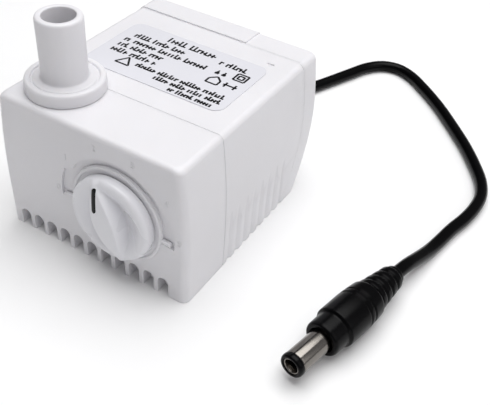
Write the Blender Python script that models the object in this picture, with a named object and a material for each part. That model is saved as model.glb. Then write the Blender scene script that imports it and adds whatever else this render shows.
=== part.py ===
"""Small fountain pump: plastic casing, magnet-drive rotor, flow dial, outlet tube and low-voltage lead.

Frame: origin at the bottom centre of the pump, +X to its right, +Y to its back, +Z up, in metres.
The constants are in millimetres and MM turns them into metres.
"""

import math

import bmesh
import bpy
import numpy as np
from mathutils import Matrix, Vector

MM = 0.001
GAP = 0.3                # clearance between pieces that touch on the real pump
SEG = 40                 # sides of a visible round piece
SEG_INNER = 24           # sides of a round piece inside the casing

# Casing
BODY_H = 37.2
HALF_W_TOP = 24.4
HALF_W_MAX = 26.1
HALF_W_BOTTOM = 25.9
BULGE_Z = 14.0           # height where the sides are widest
FACE_Y = -26.8           # front face
REAR_Y = 31.8            # rear face at the top
REAR_TAPER = 8.0         # how far the rear face comes forward at the bottom
REAR_TAPER_Z = 26.0      # height below which it does so
SEAM_Y = -11.5           # joint between front cover and motor housing
CAP_DEPTH = 7.4          # the rear cover reaches this far forward of the rear face
CAP_STEP = 0.35          # height of the low pad on the rear cover's left part
CAP_STEP_X = 7.9         # where that pad ends
WALL = 1.7
EDGE_R = 1.4             # round along the top edges
CORNER_R = 1.9           # round of the upright corners
CORNER_STEPS = 5

# Intake slots along the bottom of the front cover
SLOT_COUNT = 11
SLOT_PITCH = 4.09
SLOT_MID_X = -0.8
SLOT_W = 2.95
SLOT_DEPTH = 2.8         # below the cover's floor a slot ends at a back wall this far in
SLOT_TOP_Z = 5.1
COVER_FLOOR = 3.6

# Side grooves of the motor housing
GROOVE_COUNT = 8
GROOVE_PITCH = 3.5
GROOVE_FIRST_Y = -8.9
GROOVE_W = 2.0
GROOVE_FLOOR_W = 0.7
GROOVE_DEPTH = 0.42
GROOVE_TOP_Z = 15.2

# Flow dial
DIAL_X = 7.5
DIAL_Z = 18.0
DIAL_R = 10.5
DIAL_PROUD = 3.1
RIDGE_PROUD = 5.0
RIDGE_DOME = 1.7         # how much lower the grip is at its ends
DIAL_ANGLE = 108.0       # pointer direction, degrees from +X towards +Z
RECESS_R = 14.0
RECESS_END_R = 15.6
RECESS_DEPTH = 0.7
COLLAR_R = 12.3
DIAL_SHAFT_R = 2.6
SHUTTER_R = 8.4

# Outlet
OUT_X = -13.7
OUT_Y = -16.2
OUT_R = 5.15
BORE_R = 3.65
OUT_TOP_Z = 54.8
FLANGE_R = 9.0
FLANGE_H = 2.9
SPIGOT_R = 4.9
PORT_HOLE_R = 7.1

# Pump head and rotor, all on one axis along Y
AXIS_Z = 18.0
WELL_R = 8.5
WELL_WALL = 1.2
WELL_END_Y = 4.5
CHAMBER_R = 12.0
CHAMBER_FRONT_Y = -20.2
IMPELLER_R = 9.0
MAGNET_R = 7.6
SHAFT_R = 1.1
BUSH_R = 2.5

# Stator
CORE_X0 = 9.0
CORE_X1 = 17.0
CORE_Z0 = 11.0
CORE_Z1 = 25.0
CORE_FRONT_Y = -5.4
CORE_REAR_Y = 20.8
COIL_Y0 = 6.2
COIL_Y1 = 15.4

# Lead and plug
GLAND_X = 2.0
GLAND_Z = 20.0
GLAND_FLANGE_R = 4.2
CORD_D = 3.3
PLUG_TIP = (55.2, -32.1, 5.05)
PLUG_DIR = (0.2005, 0.9797, 0.0)
PLUG_LENGTH = 37.3


def clear_scene():
    """Remove every object that a new file starts with."""
    for obj in list(bpy.data.objects):
        bpy.data.objects.remove(obj, do_unlink=True)


def linear(hex_colour):
    """Turn an sRGB hex colour into linear RGBA."""
    parts = [int(hex_colour[i:i + 2], 16) / 255.0 for i in (1, 3, 5)]
    return tuple(c / 12.92 if c <= 0.04045 else ((c + 0.055) / 1.055) ** 2.4 for c in parts) + (1.0,)


def material(name, colour, roughness, metallic=0.0):
    """Make one Principled material."""
    mat = bpy.data.materials.new(name)
    mat.use_nodes = True
    shader = mat.node_tree.nodes["Principled BSDF"]
    shader.inputs["Base Color"].default_value = linear(colour)
    shader.inputs["Roughness"].default_value = roughness
    shader.inputs["Metallic"].default_value = metallic
    mat.diffuse_color = linear(colour)
    return mat


def add_object(name, vertices, faces, mat):
    """Make an object from points in millimetres; its faces are turned to point out."""
    mesh = bpy.data.meshes.new(name)
    mesh.from_pydata([tuple(c * MM for c in v) for v in vertices], [], faces)
    bm = bmesh.new()
    bm.from_mesh(mesh)
    bmesh.ops.recalc_face_normals(bm, faces=bm.faces)
    bm.to_mesh(mesh)
    bm.free()
    mesh.shade_smooth()
    mesh.set_sharp_from_angle(angle=math.radians(35.0))
    obj = bpy.data.objects.new(name, mesh)
    bpy.context.collection.objects.link(obj)
    obj.data.materials.append(mat)
    return obj


def loft(name, loops, mat, closed=False):
    """Skin a list of equal point loops; the ends are capped unless the skin closes on itself."""
    n = len(loops[0])
    vertices = [p for loop in loops for p in loop]
    faces = []
    rows = len(loops) if closed else len(loops) - 1
    for i in range(rows):
        a = i * n
        b = ((i + 1) % len(loops)) * n
        for j in range(n):
            k = (j + 1) % n
            faces.append((a + j, a + k, b + k, b + j))
    if not closed:
        faces.append(tuple(range(n)))
        faces.append(tuple(range((len(loops) - 1) * n, len(loops) * n)))
    return add_object(name, vertices, faces, mat)


def turned(name, profile, mat, centre=(0.0, 0.0, 0.0), axis=(0.0, 0.0, 1.0), segments=SEG, ring=False):
    """Turn a profile of (radius, height) about an axis through centre; ring closes the profile."""
    turn = Vector((0.0, 0.0, 1.0)).rotation_difference(Vector(axis).normalized())
    place = Matrix.Translation(Vector(centre)) @ turn.to_matrix().to_4x4()
    loops = []
    for radius, height in profile:
        angles = [2.0 * math.pi * k / segments for k in range(segments)]
        loops.append([tuple(place @ Vector((radius * math.cos(a), radius * math.sin(a), height)))
                      for a in angles])
    return loft(name, loops, mat, closed=ring)


def box(name, low, high, mat):
    """Make a box between two corners."""
    (x0, y0, z0), (x1, y1, z1) = low, high
    loops = [[(x0, y0, z), (x1, y0, z), (x1, y1, z), (x0, y1, z)] for z in (z0, z1)]
    return loft(name, loops, mat)


def prism_y(name, outline, y0, y1, mat):
    """Extrude an outline of (x, z) points from y0 to y1."""
    return loft(name, [[(x, y, z) for x, z in outline] for y in (y0, y1)], mat)


def cut(obj, cutter, operation="DIFFERENCE"):
    """Apply a Boolean with a cutter, then remove the cutter."""
    mod = obj.modifiers.new("cut", "BOOLEAN")
    mod.operation = operation
    mod.solver = "EXACT"
    mod.object = cutter
    bpy.context.view_layer.update()
    evaluated = obj.evaluated_get(bpy.context.evaluated_depsgraph_get())
    mesh = bpy.data.meshes.new_from_object(evaluated)
    obj.modifiers.clear()
    old = obj.data
    obj.data = mesh
    bpy.data.meshes.remove(old)
    bpy.data.objects.remove(cutter, do_unlink=True)
    obj.data.set_sharp_from_angle(angle=math.radians(35.0))


def rounded_rect(x0, x1, y0, y1, radii, steps=CORNER_STEPS):
    """Corners in the order front left, front right, rear right, rear left; a zero radius gives one point."""
    centres = ((x0, y0, 180.0), (x1, y0, 270.0), (x1, y1, 0.0), (x0, y1, 90.0))
    signs = ((1, 1), (-1, 1), (-1, -1), (1, -1))
    points = []
    for (x, y, start), (sx, sy), radius in zip(centres, signs, radii):
        if radius <= 0.0:
            points.append((x, y))
            continue
        for k in range(steps + 1):
            a = math.radians(start + 90.0 * k / steps)
            points.append((x + sx * radius + radius * math.cos(a), y + sy * radius + radius * math.sin(a)))
    return points


def half_width(z):
    """Half width of the casing at height z: widest at BULGE_Z, curving in above and below."""
    if z > BULGE_Z:
        t = (z - BULGE_Z) / (BODY_H - BULGE_Z)
        return HALF_W_MAX - (HALF_W_MAX - HALF_W_TOP) * t * t
    t = (BULGE_Z - z) / BULGE_Z
    return HALF_W_MAX - (HALF_W_MAX - HALF_W_BOTTOM) * t * t


def rear_y(z):
    """Rear face at height z: upright above REAR_TAPER_Z, curving forward below it."""
    t = max(0.0, 1.0 - z / REAR_TAPER_Z)
    return REAR_Y - REAR_TAPER * t * t


def cap_y(z):
    """Joint between motor housing and rear cover at height z, parallel to the rear face."""
    return rear_y(z) - CAP_DEPTH


def casing_levels(z0, z1, top_round):
    """Heights of the casing's loops with the inset that rounds the top edge."""
    levels = [(z, 0.0) for z in np.linspace(z0, z1 - top_round, 9)]
    if top_round > 0.0:
        for k in range(1, 5):
            a = math.radians(90.0 * k / 4)
            levels.append((z1 - top_round + top_round * math.sin(a), top_round * (1.0 - math.cos(a))))
    return levels


def casing(name, y0, y1, mat, inset=0.0, z0=0.0, z1=BODY_H, front_round=False, rear_round=False,
           top_round=0.0):
    """One length of the barrel-sided casing, from y0 to y1, each a number or a function of the height."""
    loops = []
    for z, edge in casing_levels(z0, z1, top_round):
        w = half_width(z) - inset - edge
        front = (y0(z) if callable(y0) else y0) + (edge if front_round else 0.0)
        rear = (y1(z) if callable(y1) else y1) - (edge if rear_round else 0.0)
        radius = min(max(0.4, CORNER_R - inset), 0.8 * (rear - front))
        radii = (radius if front_round else 0.0,) * 2 + (radius if rear_round else 0.0,) * 2
        loops.append([(x, y, z) for x, y in rounded_rect(-w, w, front, rear, radii)])
    return loft(name, loops, mat)


def slot_outline(x, width, top, bottom=-1.0, steps=8):
    """Upright slot with an arched top."""
    r = width / 2.0
    arch = [(x + r * math.cos(a), top - r + r * math.sin(a)) for a in np.linspace(0.0, math.pi, steps + 1)]
    return [(x - r, bottom), (x + r, bottom)] + arch


def dial_axis_point(y):
    """Point on the flow dial's axis."""
    return (DIAL_X, y, DIAL_Z)


def recess_outline():
    """Half ring round the upper side of the dial, wider at both ends, as (x, z) points."""
    stops = ((-10.0, RECESS_END_R), (20.0, RECESS_END_R), (26.0, RECESS_R), (150.0, RECESS_R),
             (156.0, RECESS_END_R), (186.0, RECESS_END_R))
    outer = []
    for (a0, r0), (a1, r1) in zip(stops, stops[1:]):
        count = max(1, int((a1 - a0) / 8.0))
        outer += [(a0 + (a1 - a0) * k / count, r0 + (r1 - r0) * k / count) for k in range(count)]
    outer.append(stops[-1])
    inner = [(a, COLLAR_R) for a in np.linspace(186.0, -10.0, 25)]
    ring = []
    for angle, radius in outer + inner:
        a = math.radians(angle)
        ring.append((DIAL_X + radius * math.cos(a), DIAL_Z + radius * math.sin(a)))
    return ring


def build_front_cover(mats):
    """Pump-head cover: five walls, slotted floor, dial recess and a notch for the outlet spigot."""
    abs_white = mats["casing"]
    cover = casing("front_cover", FACE_Y, SEAM_Y - GAP / 2, abs_white, front_round=True, top_round=EDGE_R)
    hollow = casing("hollow", FACE_Y + WALL, SEAM_Y + 2.0, abs_white, inset=WALL, z0=COVER_FLOOR,
                    z1=BODY_H - WALL, front_round=True)
    cut(cover, hollow)
    for i in range(SLOT_COUNT):
        x = SLOT_MID_X + SLOT_PITCH * (i - (SLOT_COUNT - 1) / 2)
        cut(cover, prism_y("slot", slot_outline(x, SLOT_W, SLOT_TOP_Z), FACE_Y - 2.0, FACE_Y + SLOT_DEPTH,
                           abs_white))
    cut(cover, prism_y("recess", recess_outline(), FACE_Y - 1.0, FACE_Y + RECESS_DEPTH, abs_white))
    cut(cover, turned("shaft_hole", [(DIAL_SHAFT_R + 0.2, -4.0), (DIAL_SHAFT_R + 0.2, 4.0)], abs_white,
                      dial_axis_point(FACE_Y + 1.0), (0, 1, 0)))
    notch = turned("notch", [(PORT_HOLE_R, BODY_H - 4.0), (PORT_HOLE_R, BODY_H + 2.0)], abs_white,
                   (OUT_X, OUT_Y, 0.0))
    cut(notch, box("mouth", (OUT_X - PORT_HOLE_R, OUT_Y, BODY_H - 4.0),
                   (OUT_X + PORT_HOLE_R, SEAM_Y + 3.0, BODY_H + 2.0), abs_white), "UNION")
    cut(cover, notch)
    return cover


def ridge_outline():
    """Lens of the dial's grip, long axis upright, as (x, z) points about the dial's centre."""
    half_l = DIAL_R - 0.9
    half_w = 3.9
    radius = (half_l * half_l + half_w * half_w) / (2.0 * half_w)
    reach = math.asin(half_l / radius)
    right = [(radius * math.cos(a) - radius + half_w, radius * math.sin(a))
             for a in np.linspace(-reach, reach, 13)]
    left = [(-x, -z) for x, z in right[1:-1]]
    return right + left


def turn_in_dial(points, degrees):
    """Turn (x, z) points about the dial's centre and move them to the dial."""
    a = math.radians(degrees)
    return [(DIAL_X + x * math.cos(a) - z * math.sin(a), DIAL_Z + x * math.sin(a) + z * math.cos(a))
            for x, z in points]


def build_flow_dial(mats):
    """Knob with a raised rim, a lens-shaped grip and a stub shaft, its pointer bar and its shutter."""
    back = FACE_Y - GAP
    front = FACE_Y - DIAL_PROUD
    end = FACE_Y + WALL + 1.8
    profile = [(DIAL_R, back), (DIAL_R, front + 1.2), (DIAL_R - 0.4, front + 0.35), (DIAL_R - 1.2, front),
               (DIAL_R - 1.9, front + 0.4), (DIAL_R - 2.4, front + 1.1), (0.4, front + 1.3)]
    dial = turned("flow_dial", [(DIAL_SHAFT_R, end), (DIAL_SHAFT_R, back)] + profile, mats["dial"],
                  (DIAL_X, 0.0, DIAL_Z), (0, 1, 0))
    tilt = DIAL_ANGLE - 90.0
    dome_r = (DIAL_R * DIAL_R + RIDGE_DOME * RIDGE_DOME) / (2.0 * RIDGE_DOME)
    lens = ridge_outline()
    loops = [[(x, front + 2.0, z) for x, z in turn_in_dial(lens, tilt)]]
    for share in (1.0, 0.7, 0.4, 0.12):
        ring = [(share * x, share * z) for x, z in lens]
        crest = [FACE_Y - RIDGE_PROUD + dome_r - math.sqrt(dome_r ** 2 - x * x - z * z) for x, z in ring]
        loops.append([(x, y, z) for (x, z), y in zip(turn_in_dial(ring, tilt), crest)])
    ridge = loft("ridge", loops, mats["dial"])
    cut(dial, ridge, "UNION")
    half_w, low, high = 0.5, 2.6, 8.8
    pocket = [(-half_w - GAP, low - GAP), (half_w + GAP, low - GAP), (half_w + GAP, high + GAP),
              (-half_w - GAP, high + GAP)]
    cut(dial, prism_y("pocket", turn_in_dial(pocket, tilt), FACE_Y - RIDGE_PROUD - 1.0, front + 0.5,
                      mats["dial"]))
    bar_top = FACE_Y - RIDGE_PROUD + 0.05
    crest = [bar_top + dome_r - math.sqrt(dome_r * dome_r - r * r) for r in (low, high)]
    ends = [turn_in_dial([(-half_w, r), (half_w, r)], tilt) for r in (low, high)]
    loops = []
    for (a, b), y in zip(ends, crest):
        loops.append([(a[0], y, a[1]), (b[0], y, b[1]), (b[0], front + 0.2, b[1]), (a[0], front + 0.2, a[1])])
    loft("dial_pointer", loops, mats["ink"])
    disc = [(DIAL_SHAFT_R + 0.1, 0.0), (SHUTTER_R, 0.0), (SHUTTER_R, 1.2), (DIAL_SHAFT_R + 0.1, 1.2)]
    shutter = turned("flow_shutter", disc, mats["grey"], dial_axis_point(end - 1.5), (0, 1, 0), SEG_INNER,
                     ring=True)
    window = turned("window", [(3.6, -3.0), (3.6, 4.0)], mats["grey"], (DIAL_X + 5.8, end - 1.0, DIAL_Z),
                    (0, 1, 0),
                    SEG_INNER)
    cut(shutter, window)


def build_outlet(mats):
    """Outlet tube with its flange ring, plugged into the pump chamber's port through an O-ring."""
    z0 = BODY_H + GAP
    ring_top = z0 + FLANGE_H
    seat = ring_top - 0.35
    top = OUT_TOP_Z
    spigot = BODY_H - 6.0
    outer = [(SPIGOT_R, spigot), (SPIGOT_R, z0), (FLANGE_R - 0.5, z0), (FLANGE_R, z0 + 0.5),
             (FLANGE_R, ring_top - 0.9),
             (FLANGE_R - 0.35, ring_top - 0.25), (FLANGE_R - 0.9, ring_top), (FLANGE_R - 1.5, ring_top - 0.1),
             (FLANGE_R - 1.8, seat - 0.3), (FLANGE_R - 2.1, seat), (OUT_R + 0.9, seat + 0.5),
             (OUT_R + 0.1, seat + 1.6),
             (OUT_R, seat + 3.0), (OUT_R, top - 1.4), (OUT_R - 0.25, top - 0.6), (OUT_R - 0.55, top - 0.15),
             (OUT_R - 0.85, top), (BORE_R + 0.1, top), (BORE_R, top - 0.4), (BORE_R, spigot)]
    turned("outlet_nozzle", outer, mats["casing"], (OUT_X, OUT_Y, 0.0), ring=True)
    seal = [(SPIGOT_R + 0.15 + 0.6 + 0.6 * math.cos(a), spigot + 4.8 + 0.6 * math.sin(a))
            for a in np.linspace(0.0, 2.0 * math.pi, 9)[:-1]]
    turned("nozzle_o_ring", seal, mats["rubber"], (OUT_X, OUT_Y, 0.0), segments=SEG_INNER, ring=True)


def build_pump_chamber(mats):
    """Volute: round chamber about the rotor axis, channel up to the outlet port, and its inlet plate."""
    y0 = CHAMBER_FRONT_Y
    y1 = SEAM_Y - 0.6
    mid_y = OUT_Y
    body = turned("pump_chamber", [(CHAMBER_R + 1.4, y0), (CHAMBER_R + 1.4, y1)], mats["grey"],
                  (0, 0, AXIS_Z), (0, 1, 0))
    cut(body, box("channel_wall", (OUT_X - 5.0, y0, 14.0), (-6.0, y1, 27.0), mats["grey"]), "UNION")
    port_r = SPIGOT_R + 1.55
    port_y = min(OUT_Y - y0, y1 - OUT_Y)
    cut(body, turned("port_wall", [(port_r, 22.0), (port_r, BODY_H - WALL - GAP)], mats["grey"],
                     (OUT_X, mid_y, 0)),
        "UNION")
    cut(body, turned("room", [(CHAMBER_R, y0 + 0.8), (CHAMBER_R, y1 + 1.0)], mats["grey"], (0, 0, AXIS_Z),
                     (0, 1, 0)))
    cut(body, turned("eye", [(5.6, y0 - 1.0), (5.6, y0 + 2.0)], mats["grey"], (0, 0, AXIS_Z), (0, 1, 0)))
    cut(body, box("channel", (OUT_X - 3.4, mid_y - port_y + 1.4, 16.0), (-8.0, mid_y + port_y - 1.4, 24.5),
                  mats["grey"]))
    cut(body, turned("channel_up", [(3.4, 20.0), (3.4, 33.0)], mats["grey"], (OUT_X, mid_y, 0)))
    socket_r = SPIGOT_R + GAP
    cut(body, turned("socket", [(socket_r, BODY_H - 6.3), (socket_r, BODY_H + 2.0)], mats["grey"],
                     (OUT_X, mid_y, 0)))
    seal_room = SPIGOT_R + 1.55 - 0.1
    cut(body, turned("seal_seat", [(seal_room, BODY_H - 2.2), (seal_room, BODY_H + 2.0)], mats["grey"],
                     (OUT_X, mid_y, 0)))
    y_plate = y0 - 0.3
    rim_r = CHAMBER_R - 2.8
    plate = [(4.6, y_plate - 1.2), (rim_r, y_plate - 1.2), (rim_r, y_plate), (4.6, y_plate)]
    inlet = turned("inlet_plate", plate, mats["grey"], (0, 0, AXIS_Z), (0, 1, 0), SEG_INNER, ring=True)
    hub = [(BUSH_R + 0.15, y_plate - 0.4), (BUSH_R + 0.15, y_plate + 1.3), (3.7, y_plate + 1.3),
           (3.7, y_plate - 1.2),
           (1.4, y_plate - 1.2), (1.4, y_plate - 0.4)]
    cut(inlet, turned("hub", hub, mats["grey"], (0, 0, AXIS_Z), (0, 1, 0), SEG_INNER, ring=True), "UNION")
    for k in range(3):
        a = math.radians(90.0 + 120.0 * k)
        spoke = [(3.4, -0.6), (5.0, -0.6), (5.0, 0.6), (3.4, 0.6)]
        outline = [(x * math.cos(a) - z * math.sin(a), AXIS_Z + x * math.sin(a) + z * math.cos(a))
                   for x, z in spoke]
        cut(inlet, prism_y("spoke", outline, y_plate - 1.1, y_plate - 0.1, mats["grey"]), "UNION")


def build_rotor(mats):
    """Impeller, its sleeve with the ring magnet, the fixed ceramic shaft and its two rubber bushes."""
    axis = (0, 1, 0)
    base = (0, 0, AXIS_Z)
    bore = SHAFT_R + 0.1
    magnet_y0, magnet_y1 = -9.0, 2.4
    turned("rotor_magnet", [(3.1, magnet_y0), (MAGNET_R, magnet_y0), (MAGNET_R, magnet_y1), (3.1, magnet_y1)],
           mats["magnet"], base, axis, SEG_INNER, ring=True)
    sleeve = [(bore, -18.4), (2.8, -18.4), (2.8, 2.8), (bore, 2.8)]
    turned("rotor_sleeve", sleeve, mats["grey"], base, axis, SEG_INNER, ring=True)
    disc = [(3.1, -13.2), (IMPELLER_R, -13.2), (IMPELLER_R, -12.2), (3.1, -12.2)]
    impeller = turned("impeller", disc, mats["impeller"], base, axis, SEG_INNER, ring=True)
    for k in range(6):
        a = math.radians(60.0 * k + 10.0)
        vane = [(3.4, -0.5), (IMPELLER_R - 0.1, -0.5), (IMPELLER_R - 0.1, 0.5), (3.4, 0.5)]
        outline = [(x * math.cos(a) - z * math.sin(a), AXIS_Z + x * math.sin(a) + z * math.cos(a))
                   for x, z in vane]
        cut(impeller, prism_y("vane", outline, -17.8, -12.7, mats["impeller"]), "UNION")
    shaft_y0 = CHAMBER_FRONT_Y - 0.4
    turned("ceramic_shaft", [(SHAFT_R, shaft_y0), (SHAFT_R, 4.0)], mats["ceramic"], base, axis, SEG_INNER)
    for name, y0, y1 in (("front_bush", shaft_y0 - 0.1, shaft_y0 + 1.6), ("rear_bush", 3.1, 4.3)):
        bush = [(SHAFT_R + 0.05, y0), (BUSH_R, y0), (BUSH_R, y1), (SHAFT_R + 0.05, y1)]
        turned(name, bush, mats["rubber"], base, axis, SEG_INNER, ring=True)


def build_motor_housing(mats):
    """Potted motor's shell: front plate with the rotor well, walls, open back, grooved sides."""
    abs_white = mats["casing"]
    housing = casing("motor_housing", SEAM_Y + GAP / 2, lambda z: cap_y(z) - GAP / 2, abs_white,
                     top_round=EDGE_R)
    cut(housing, casing("hollow", SEAM_Y + WALL, lambda z: cap_y(z) + 2.0, abs_white, inset=WALL, z0=WALL,
                        z1=BODY_H - WALL))
    well = turned("well", [(WELL_R + WELL_WALL, SEAM_Y + 0.6), (WELL_R + WELL_WALL, WELL_END_Y + WELL_WALL)],
                  abs_white,
                  (0, 0, AXIS_Z), (0, 1, 0))
    cut(housing, well, "UNION")
    cut(housing, turned("well_bore", [(WELL_R, SEAM_Y - 2.0), (WELL_R, WELL_END_Y)], abs_white,
                        (0, 0, AXIS_Z), (0, 1, 0)))
    cup = [(BUSH_R + 0.15, 3.0), (BUSH_R + 1.1, 3.0), (BUSH_R + 1.1, WELL_END_Y + 0.5),
           (BUSH_R + 0.15, WELL_END_Y + 0.5)]
    cut(housing, turned("bush_cup", cup, abs_white, (0, 0, AXIS_Z), (0, 1, 0), SEG_INNER, ring=True), "UNION")
    pocket_z = 20.0
    pocket_r = PORT_HOLE_R + 1.2
    pocket = turned("pocket", [(pocket_r, pocket_z), (pocket_r, BODY_H - 0.6)], abs_white, (OUT_X, OUT_Y, 0))
    front_y = SEAM_Y + GAP / 2 + 0.2
    cut(pocket, box("front", (OUT_X - 12.0, OUT_Y - 12.0, 10.0), (OUT_X + 12.0, front_y, 50.0), abs_white))
    cut(pocket, box("side", (OUT_X - 12.0, OUT_Y - 12.0, 10.0), (1.0 - HALF_W_TOP, 0.0, 50.0), abs_white))
    cut(housing, pocket, "UNION")
    cut(housing, turned("port_room", [(PORT_HOLE_R, pocket_z + 1.2), (PORT_HOLE_R, BODY_H + 2.0)], abs_white,
                        (OUT_X, OUT_Y, 0)))
    for side in (-1, 1):
        for k in range(GROOVE_COUNT):
            y = GROOVE_FIRST_Y + GROOVE_PITCH * k
            levels = []
            for z, depth in ((-1.0, GROOVE_DEPTH), (GROOVE_TOP_Z - 4.0, GROOVE_DEPTH), (GROOVE_TOP_Z, 0.04)):
                skin = half_width(max(z, 0.0))
                outline = [(skin - depth, -GROOVE_FLOOR_W / 2), (skin + 0.02, -GROOVE_W / 2),
                           (30.0, -GROOVE_W / 2), (30.0, GROOVE_W / 2),
                           (skin + 0.02, GROOVE_W / 2), (skin - depth, GROOVE_FLOOR_W / 2)]
                levels.append([(side * x, y + dy, z) for x, dy in outline])
            cut(housing, loft("groove", levels, abs_white))
    cut(housing, box("latch_mark", (17.0, 19.3, BODY_H - 0.5), (18.9, 19.9, BODY_H + 1.0), abs_white))
    return housing


def build_rear_cover(mats):
    """Rear cover with a hole for the lead's gland and a low step along its top edge."""
    abs_white = mats["casing"]
    cover = casing("rear_cover", lambda z: cap_y(z) + GAP / 2, rear_y, abs_white, rear_round=True,
                   top_round=EDGE_R)
    cut(cover, casing("hollow", lambda z: cap_y(z) - 2.0, lambda z: rear_y(z) - WALL, abs_white, inset=WALL,
                      z0=WALL,
                      z1=BODY_H - WALL, rear_round=True))
    pad = casing("pad", lambda z: cap_y(z) + GAP / 2, rear_y, abs_white, z0=BODY_H - WALL + 0.2,
                 z1=BODY_H + CAP_STEP, rear_round=True, top_round=EDGE_R)
    cut(pad, box("pad_end", (CAP_STEP_X, REAR_Y - 15.0, BODY_H - 5.0), (30.0, REAR_Y + 1.0, BODY_H + 5.0),
                 abs_white))
    cut(cover, pad, "UNION")
    boss = turned("boss", [(GLAND_FLANGE_R + 0.4, REAR_Y - 2.2), (GLAND_FLANGE_R + 0.4, REAR_Y)], abs_white,
                  (GLAND_X, 0, GLAND_Z), (0, 1, 0), SEG_INNER)
    cut(cover, boss, "UNION")
    cut(cover, turned("gland_hole", [(3.3, REAR_Y - 6.0), (3.3, REAR_Y + 4.0)], abs_white,
                      (GLAND_X, 0, GLAND_Z),
                      (0, 1, 0), SEG_INNER))
    return cover


def rect_ring(name, cx, half_x, half_z, profile, mat):
    """Carry a closed profile of (offset, y) round a rounded rectangle centred on (cx, core middle)."""
    loops = []
    mid_z = (CORE_Z0 + CORE_Z1) / 2
    for offset, y in profile:
        radius = max(0.2, offset)
        outline = rounded_rect(cx - half_x - offset, cx + half_x + offset, mid_z - half_z - offset,
                               mid_z + half_z + offset, (radius,) * 4, steps=3)
        loops.append([(x, y, z) for x, z in outline])
    return loft(name, loops, mat, closed=True)


def build_stator(mats):
    """U-shaped laminated core round the rotor well, and a bobbin with its winding on each leg."""
    u_shape = [(-CORE_X1, CORE_FRONT_Y), (-CORE_X0, CORE_FRONT_Y), (-CORE_X0, CORE_REAR_Y - 5.1),
               (CORE_X0, CORE_REAR_Y - 5.1), (CORE_X0, CORE_FRONT_Y), (CORE_X1, CORE_FRONT_Y),
               (CORE_X1, CORE_REAR_Y), (-CORE_X1, CORE_REAR_Y)]
    core = loft("stator_core", [[(x, y, z) for x, y in u_shape] for z in (CORE_Z0, CORE_Z1)], mats["steel"])
    pole_r = WELL_R + WELL_WALL + GAP
    cut(core, turned("poles", [(pole_r, -12.0), (pole_r, WELL_END_Y + WELL_WALL + GAP)], mats["steel"],
                     (0, 0, AXIS_Z),
                     (0, 1, 0)))
    half_x = (CORE_X1 - CORE_X0) / 2
    half_z = (CORE_Z1 - CORE_Z0) / 2
    flange = 3.9
    bobbin = [(GAP, COIL_Y0), (flange, COIL_Y0), (flange, COIL_Y0 + 0.8), (1.1, COIL_Y0 + 0.8),
              (1.1, COIL_Y1 - 0.8),
              (flange, COIL_Y1 - 0.8), (flange, COIL_Y1), (GAP, COIL_Y1)]
    winding = [(1.4, COIL_Y0 + 1.1), (3.5, COIL_Y0 + 1.1), (3.5, COIL_Y1 - 1.1), (1.4, COIL_Y1 - 1.1)]
    for side, word in ((-1, "left"), (1, "right")):
        cx = side * (CORE_X0 + CORE_X1) / 2
        rect_ring("coil_bobbin_" + word, cx, half_x, half_z, bobbin, mats["nylon"])
        rect_ring("coil_winding_" + word, cx, half_x, half_z, winding, mats["copper"])


def tube_along(name, route, diameter, mat, resolution=2):
    """Round tube with capped ends through the points of a route, in millimetres."""
    curve = bpy.data.curves.new(name, "CURVE")
    curve.dimensions = "3D"
    curve.bevel_depth = diameter / 2 * MM
    curve.bevel_resolution = resolution
    curve.use_fill_caps = True
    spline = curve.splines.new("POLY")
    spline.points.add(len(route) - 1)
    for point, position in zip(spline.points, route):
        point.co = (*(c * MM for c in position), 1.0)
    obj = bpy.data.objects.new(name, curve)
    bpy.context.collection.objects.link(obj)
    curve.materials.append(mat)
    return obj


def smooth_route(points, spacing):
    """Centripetal Catmull-Rom curve through the points, read at an even spacing."""
    pts = [np.array(p, float) for p in points]
    pts = [2 * pts[0] - pts[1]] + pts + [2 * pts[-1] - pts[-2]]
    fine = []
    for p0, p1, p2, p3 in zip(pts, pts[1:], pts[2:], pts[3:]):
        t0 = 0.0
        t1 = t0 + math.sqrt(np.linalg.norm(p1 - p0))
        t2 = t1 + math.sqrt(np.linalg.norm(p2 - p1))
        t3 = t2 + math.sqrt(np.linalg.norm(p3 - p2))
        for t in np.linspace(t1, t2, 20, endpoint=False):
            a1 = (t1 - t) / (t1 - t0) * p0 + (t - t0) / (t1 - t0) * p1
            a2 = (t2 - t) / (t2 - t1) * p1 + (t - t1) / (t2 - t1) * p2
            a3 = (t3 - t) / (t3 - t2) * p2 + (t - t2) / (t3 - t2) * p3
            b1 = (t2 - t) / (t2 - t0) * a1 + (t - t0) / (t2 - t0) * a2
            b2 = (t3 - t) / (t3 - t1) * a2 + (t - t1) / (t3 - t1) * a3
            fine.append((t2 - t) / (t2 - t1) * b1 + (t - t1) / (t2 - t1) * b2)
    fine.append(pts[-2])
    fine = np.array(fine)
    along = np.concatenate([[0.0], np.cumsum(np.linalg.norm(np.diff(fine, axis=0), axis=1))])
    count = max(2, int(round(along[-1] / spacing)) + 1)
    even = np.linspace(0.0, along[-1], count)
    return [tuple(np.interp(s, along, fine[:, k]) for k in range(3)) for s in even]


def plug_point(s, drop=0.0):
    """Point at distance s behind the plug's tip, along its axis."""
    return tuple(t + s * d for t, d in zip(PLUG_TIP, PLUG_DIR))[:2] + (PLUG_TIP[2] - drop,)


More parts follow.
